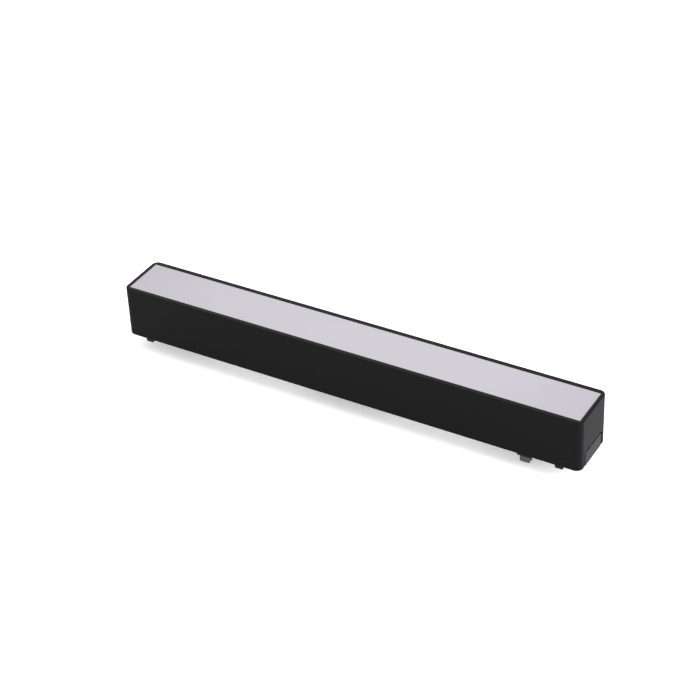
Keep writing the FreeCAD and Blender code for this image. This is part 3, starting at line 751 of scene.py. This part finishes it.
def metal(name, colour, roughness, stretch, per_metre=2500):
    """Metal with a grain drawn along one direction and soft smudges."""
    f = Finish(name, Metallic=1.0)
    lines = f.grain(per_metre, 3, 0.6, f.stretched(*stretch))
    smudge = f.grain(400, 3)
    darker = tuple(c * 0.78 for c in colour) + (1,)
    f.feed(
        Base_Color=f.mixed(darker, tuple(colour) + (1,), smudge),
        Roughness=roughness + 0.15 * lines,
        Normal=f.relief(lines, 3e-6),
    )
    return f.material


def plain_plastic(name, colour, roughness=0.5):
    """Moulded plastic or rubber with a faint mottling."""
    f = Finish(name)
    mottle = f.grain(700, 3)
    fine = f.grain(4000, 1)
    darker = tuple(c * 0.85 for c in colour) + (1,)
    f.feed(
        Base_Color=f.mixed(darker, tuple(colour) + (1,), mottle),
        Roughness=roughness + 0.1 * fine,
        Normal=f.relief(fine, 4e-6),
    )
    return f.material


FINISHES = {
    "housing_black": black_coat(),
    "opal": opal(),
    "latch_black": black_plastic("latch_nylon", 0.004, 0.46, 14e-6),
    "tray_black": black_plastic("tray_plastic", 0.004, 0.5, 12e-6),
    # contact_nickel: the base colour is far darker than nickel, painted shade for the blades' place under the
    # body.
    "contact_nickel": metal("contact_nickel", (0.125, 0.12, 0.112), 0.38, (0.15, 1, 1)),
    "spring_steel": metal("spring_wire", (0.55, 0.55, 0.56), 0.25, (1, 1, 1)),
    "screw_steel": metal("zinc_screws", (0.6, 0.61, 0.62), 0.32, (1, 1, 0.2)),
    "magnet_nickel": metal("magnet_nickel", (0.58, 0.57, 0.55), 0.22, (0.2, 1, 1)),
    "keeper_steel": metal("keeper_steel", (0.42, 0.42, 0.42), 0.4, (0.2, 1, 1)),
    "terminal_brass": metal("terminal_brass", (0.72, 0.53, 0.25), 0.3, (0.3, 1, 1)),
    "pad_grey": plain_plastic("thermal_pad", (0.4, 0.42, 0.45), 0.8),
    "led_board_white": plain_plastic("white_mask", (0.8, 0.8, 0.78), 0.35),
    "led_package": plain_plastic("led_phosphor", (0.8, 0.68, 0.28), 0.5),
    "circuit_board": plain_plastic("green_mask", (0.02, 0.16, 0.07), 0.3),
    "ferrite": plain_plastic("ferrite", (0.05, 0.05, 0.052), 0.6),
    "component_black": plain_plastic("epoxy_case", (0.02, 0.02, 0.02), 0.5),
    "capacitor_can": metal("capacitor_can", (0.75, 0.75, 0.76), 0.25, (1, 1, 0.2)),
    "terminal_housing": plain_plastic("terminal_nylon", (0.5, 0.51, 0.5), 0.45),
    "lead_red": plain_plastic("red_insulation", (0.45, 0.02, 0.02), 0.35),
    "lead_black": plain_plastic("black_insulation", (0.02, 0.02, 0.02), 0.35),
}

# ---- camera -----------------------------------------------------------------------------

CAMERA_AT = Vector((354.45, -584.58, 495.91)) * MM
CAMERA_AZIMUTH = math.radians(31.358)     # of the way it looks, from +Y towards -X
CAMERA_DOWN = math.radians(34.445)
CAMERA_ROLL = math.radians(-2.692)
CAMERA_LENS = 101.55
CAMERA_SHIFT = (-0.0006, -0.0263)


def add_camera():
    ahead = Vector((
        -math.sin(CAMERA_AZIMUTH) * math.cos(CAMERA_DOWN),
        math.cos(CAMERA_AZIMUTH) * math.cos(CAMERA_DOWN),
        -math.sin(CAMERA_DOWN),
    ))
    level = Vector((math.cos(CAMERA_AZIMUTH), math.sin(CAMERA_AZIMUTH), 0))
    upright = level.cross(ahead)
    right = level * math.cos(CAMERA_ROLL) + upright * math.sin(CAMERA_ROLL)
    up = right.cross(ahead)
    data = bpy.data.cameras.new("camera")
    data.lens = CAMERA_LENS
    data.sensor_width = 36
    data.shift_x, data.shift_y = CAMERA_SHIFT
    data.clip_start = 0.01
    camera = bpy.data.objects.new("camera", data)
    turn = Matrix((right, up, -ahead)).transposed().to_4x4()
    camera.matrix_world = Matrix.Translation(CAMERA_AT) @ turn
    bpy.context.scene.collection.objects.link(camera)
    bpy.context.scene.camera = camera


# ---- studio -----------------------------------------------------------------------------

WORLD_STRENGTH = 1.1
SOFTBOXES = (                   # name, place, aim, side in metres, watts, colour
    ("top_softbox", (0.0, 0.1, 1.2), (0, 0, 0), 1.0, 2, (1, 1, 1)),
    ("right_softbox", (1.1, 0.1, 0.35), (0.1, 0, 0), 0.7, 16.5, (1, 0.94, 1.12)),
    ("back_softbox", (-0.55, 0.9, 0.75), (0, 0, 0), 1.0, 6, (1, 1, 1)),
)
FLOOR_HALF = 6.0
FLOOR_GLOW = 0.34              # lightens the shadow, as a lit white table does


def add_floor():
    """A pale sweep far larger than the view, at the lowest point of the light."""
    half = FLOOR_HALF
    z = cad_box[0].z
    mesh = bpy.data.meshes.new("floor")
    corners = [(-half, -half, z), (half, -half, z), (half, half, z), (-half, half, z)]
    mesh.from_pydata(corners, [], [(0, 1, 2, 3)])
    floor = bpy.data.objects.new("floor", mesh)
    f = Finish("pale_floor", Roughness=1.0, Specular_IOR_Level=0.0, Emission_Strength=FLOOR_GLOW)
    f.feed(Base_Color=(0.9, 0.9, 0.9, 1), Emission_Color=(1, 1, 1, 1))
    mesh.materials.append(f.material)
    bpy.context.scene.collection.objects.link(floor)


def add_area(name, at, aim, size, power, colour):
    """A square soft light at a point in metres, turned towards aim."""
    data = bpy.data.lights.new(name, "AREA")
    data.shape = "SQUARE"
    data.size = size
    data.energy = power
    data.color = colour
    light = bpy.data.objects.new(name, data)
    light.location = at
    light.rotation_mode = "QUATERNION"
    light.rotation_quaternion = (Vector(aim) - Vector(at)).to_track_quat("-Z", "Y")
    bpy.context.scene.collection.objects.link(light)


def add_studio():
    world = bpy.data.worlds.new("studio")
    world.use_nodes = True
    background = next(n for n in world.node_tree.nodes if n.type == "BACKGROUND")
    background.inputs["Color"].default_value = (1, 1, 1, 1)
    background.inputs["Strength"].default_value = WORLD_STRENGTH
    bpy.context.scene.world = world
    bpy.context.scene.view_settings.view_transform = "Standard"
    for row in SOFTBOXES:
        add_area(*row)


# ---- assembly ---------------------------------------------------------------------------

for name, thing in nodes.items():
    thing.data.materials.clear()
    thing.data.materials.append(FINISHES[slots[name]])

add_housing()
add_end_cap(1, "end_plate_right", "end_cap_right")
add_end_cap(-1, "end_plate_left", "end_cap_left")
add_diffuser()
add_contact_blade("contact_blade_front", "contact_front")
add_contact_blade("contact_blade_back", "contact_back")
add_latch_spring(1, "latch_spring_right", "latch_right_slide")
add_latch_spring(-1, "latch_spring_left", "latch_left_slide")
add_contact_spring("contact_spring_front", "contact_front_slide")
add_contact_spring("contact_spring_back", "contact_back_slide")
add_magnets()
softened("latch_right", "latch_right")
softened("latch_left", "latch_left")
softened("contact_block")
softened("base_tray")
for name in (
    "base_screws",
    "cap_screws",
    "keeper_plates",
    "contact_terminals",
    "led_board",
    "leds",
    "led_board_screws",
    "driver_board",
    "inductor",
    "driver_chip",
    "filter_capacitors",
    "rectifier_diodes",
    "input_terminal",
    "output_terminal",
):
    softened(name, width=SMALL_BROKEN_EDGE)

add_camera()
add_floor()
add_studio()
